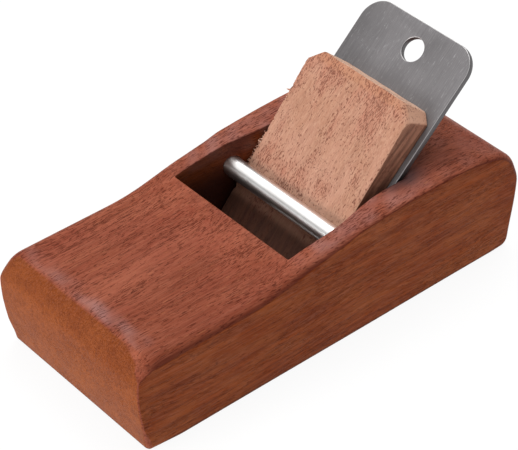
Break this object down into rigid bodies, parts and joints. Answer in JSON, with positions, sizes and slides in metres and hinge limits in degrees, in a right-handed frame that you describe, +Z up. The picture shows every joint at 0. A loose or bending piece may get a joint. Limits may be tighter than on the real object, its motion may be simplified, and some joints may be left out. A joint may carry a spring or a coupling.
{
  "type": "block plane",
  "caption": "Small wooden block plane: a low hardwood body with a rear hump, an iron bedded at a medium slope, and a tapered wooden wedge held under a steel cross pin.",
  "frame": {"origin": "centre of the sole, on its underside", "axes": "+X towards the toe, the way the plane is pushed; +Y across the body; +Z up"},
  "size_m": [0.1148, 0.05, 0.0536],
  "materials": {
    "stock_wood": "red-brown hardwood with short dark pores, thin satin finish",
    "pin_steel": "polished bright",
    "iron_steel": "satin, fine scratches along its length",
    "wedge_wood": "pale pinkish hardwood, left rough from the saw"
  },
  "bodies": {
    "stock": {"stock": "stock_wood", "cross_pin": "pin_steel"},
    "iron": {"iron": "iron_steel"},
    "wedge": {"wedge": "wedge_wood"}
  },
  "joints": [
    {"name": "iron_slide", "type": "slide", "parent": "stock", "child": "iron", "axis": [-0.7193, 0, 0.6947], "range_m": [-0.0012, 0.06]},
    {"name": "wedge_slide", "type": "slide", "parent": "stock", "child": "wedge", "axis": [-0.7193, 0, 0.6947], "range_m": [0, 0.05]}
  ]
}
